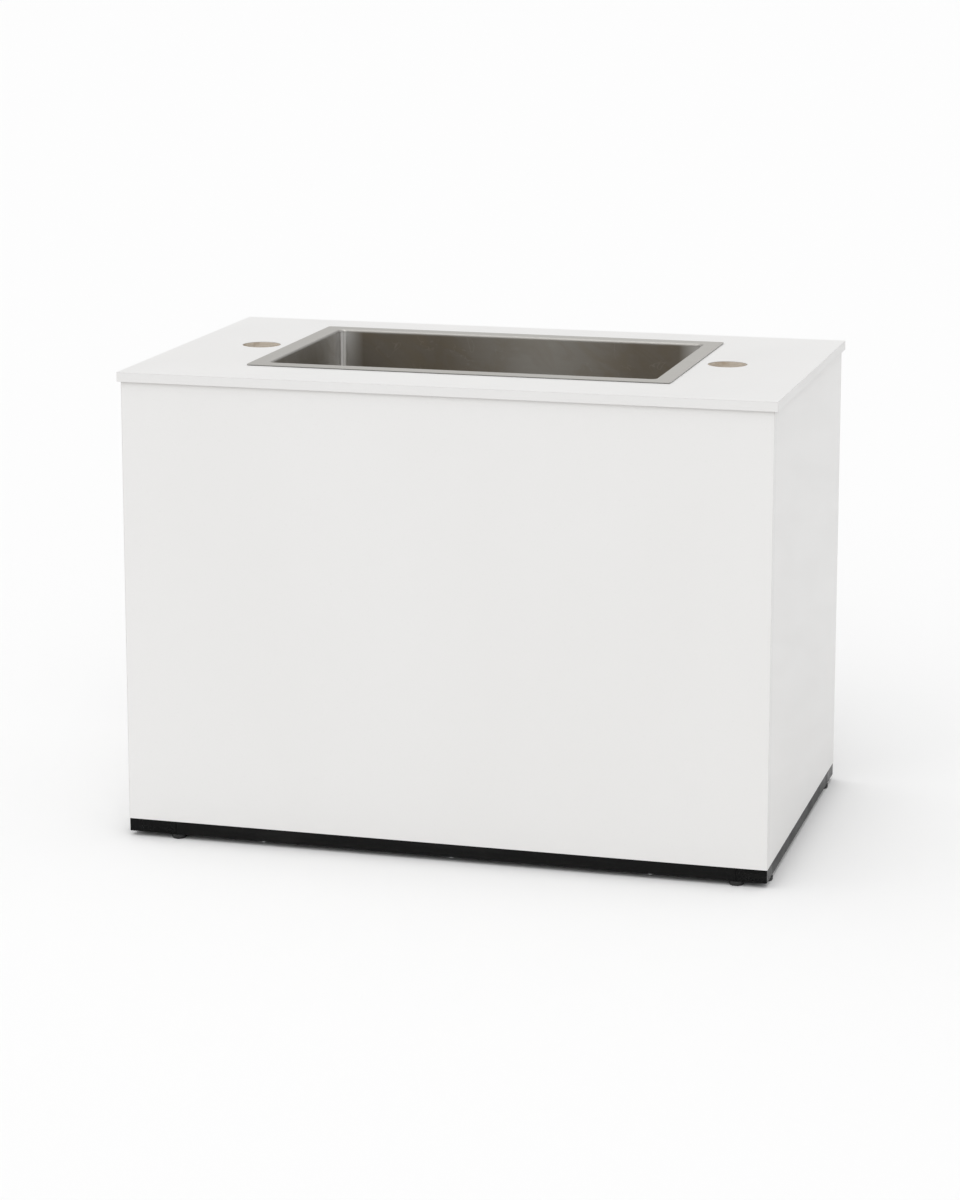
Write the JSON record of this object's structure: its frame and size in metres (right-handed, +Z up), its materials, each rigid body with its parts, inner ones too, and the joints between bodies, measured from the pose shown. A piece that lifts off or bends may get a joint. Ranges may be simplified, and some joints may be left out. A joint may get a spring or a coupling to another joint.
{
  "type": "buffet counter with ice well",
  "caption": "Free-standing white laminate buffet counter with a drop-in stainless ice well, round through-holes beside it, an open staff side and a black base frame on levelling feet.",
  "frame": {"origin": "on the floor under the middle of the worktop, level with the soles of the feet", "axes": "+X along the length, to the right of someone facing the closed front; +Y from the front panel towards the open staff side; +Z up"},
  "size_m": [1.25, 0.75, 0.9025],
  "materials": {
    "white_laminate": "satin white high-pressure laminate",
    "backing_laminate": "plain balancing laminate",
    "edge_band": "white plastic edge band",
    "plywood_core": "bare birch plywood",
    "white_board": "plywood board faced with satin white laminate",
    "batten_wood": "planed softwood",
    "zinc_steel": "bright zinc-plated steel",
    "black_steel": "satin black powder coat",
    "joiner_nylon": "black nylon",
    "black_foot": "black nylon pad on a plated stud",
    "stainless": "brushed stainless sheet with light wear",
    "foam_tape": "closed-cell foam tape",
    "rigid_foam": "fleece-faced rigid foam board",
    "galvanised": "galvanised sheet",
    "valve_brass": "nickel-free cast brass",
    "valve_chrome": "chrome-plated brass",
    "lever_steel": "zinc-plated steel",
    "lever_grip": "dipped vinyl"
  },
  "bodies": {
    "cabinet": {"worktop_laminate": "white_laminate", "worktop_backer": "backing_laminate", "worktop_edge_front": "edge_band", "worktop_edge_back": "edge_band", "worktop_edge_left": "edge_band", "worktop_edge_right": "edge_band", "front_panel_edge_left": "edge_band", "front_panel_edge_right": "edge_band", "left_panel_edge_back": "edge_band", "right_panel_edge_back": "edge_band", "bottom_panel_edge_back": "edge_band", "worktop_core": "plywood_core", "front_panel": "white_board", "left_panel": "white_board", "right_panel": "white_board", "bottom_panel": "white_board", "back_stretcher": "white_board", "corner_batten_left": "batten_wood", "corner_batten_right": "batten_wood", "top_batten_front": "batten_wood", "top_batten_left": "batten_wood", "top_batten_right": "batten_wood", "well_bearer_front": "batten_wood", "well_bearer_back": "batten_wood", "angle_brackets": "zinc_steel", "worktop_screws": "zinc_steel", "panel_screws": "zinc_steel", "bracket_screws": "zinc_steel", "base_screws": "zinc_steel", "base_rail_front": "black_steel", "base_rail_back": "black_steel", "base_rail_left": "black_steel", "base_rail_right": "black_steel", "base_corner_front_left": "black_steel", "base_corner_front_right": "black_steel", "base_corner_back_left": "black_steel", "base_corner_back_right": "black_steel", "base_joiners": "joiner_nylon"},
    "basin": {"ice_basin": "stainless", "basin_seal": "foam_tape", "basin_insulation": "rigid_foam", "basin_casing": "galvanised", "drain_tube": "stainless", "valve_body": "valve_brass", "valve_packing_nut": "valve_brass", "hose_tail": "valve_brass"},
    "strainer": {"drain_strainer": "stainless"},
    "valve_lever": {"valve_ball": "valve_chrome", "valve_stem": "valve_chrome", "valve_lever": "lever_steel", "valve_lever_grip": "lever_grip", "valve_lever_nut": "lever_steel"},
    "foot_front_left": {"foot_front_left": "black_foot"},
    "foot_front_right": {"foot_front_right": "black_foot"},
    "foot_back_left": {"foot_back_left": "black_foot"},
    "foot_back_right": {"foot_back_right": "black_foot"},
    "foot_left_front": {"foot_left_front": "black_foot"},
    "foot_left_back": {"foot_left_back": "black_foot"},
    "foot_right_front": {"foot_right_front": "black_foot"},
    "foot_right_back": {"foot_right_back": "black_foot"}
  },
  "joints": [
    {"name": "basin_lift", "type": "slide", "parent": "cabinet", "child": "basin", "axis": [0, 0, 1], "range_m": [0, 0.38]},
    {"name": "strainer_lift", "type": "slide", "parent": "basin", "child": "strainer", "axis": [0, 0, 1], "range_m": [0, 0.22]},
    {"name": "valve_turn", "type": "hinge", "parent": "basin", "child": "valve_lever", "pos_m": [-0.009, 0.02, 0.625], "axis": [0, 1, 0], "range_deg": [0, 90]},
    {"name": "foot_front_left_screw", "type": "slide", "parent": "cabinet", "child": "foot_front_left", "axis": [0, 0, -1], "range_m": [0, 0.012]},
    {"name": "foot_front_right_screw", "type": "slide", "parent": "cabinet", "child": "foot_front_right", "axis": [0, 0, -1], "range_m": [0, 0.012]},
    {"name": "foot_back_left_screw", "type": "slide", "parent": "cabinet", "child": "foot_back_left", "axis": [0, 0, -1], "range_m": [0, 0.012]},
    {"name": "foot_back_right_screw", "type": "slide", "parent": "cabinet", "child": "foot_back_right", "axis": [0, 0, -1], "range_m": [0, 0.012]},
    {"name": "foot_left_front_screw", "type": "slide", "parent": "cabinet", "child": "foot_left_front", "axis": [0, 0, -1], "range_m": [0, 0.012]},
    {"name": "foot_left_back_screw", "type": "slide", "parent": "cabinet", "child": "foot_left_back", "axis": [0, 0, -1], "range_m": [0, 0.012]},
    {"name": "foot_right_front_screw", "type": "slide", "parent": "cabinet", "child": "foot_right_front", "axis": [0, 0, -1], "range_m": [0, 0.012]},
    {"name": "foot_right_back_screw", "type": "slide", "parent": "cabinet", "child": "foot_right_back", "axis": [0, 0, -1], "range_m": [0, 0.012]}
  ]
}
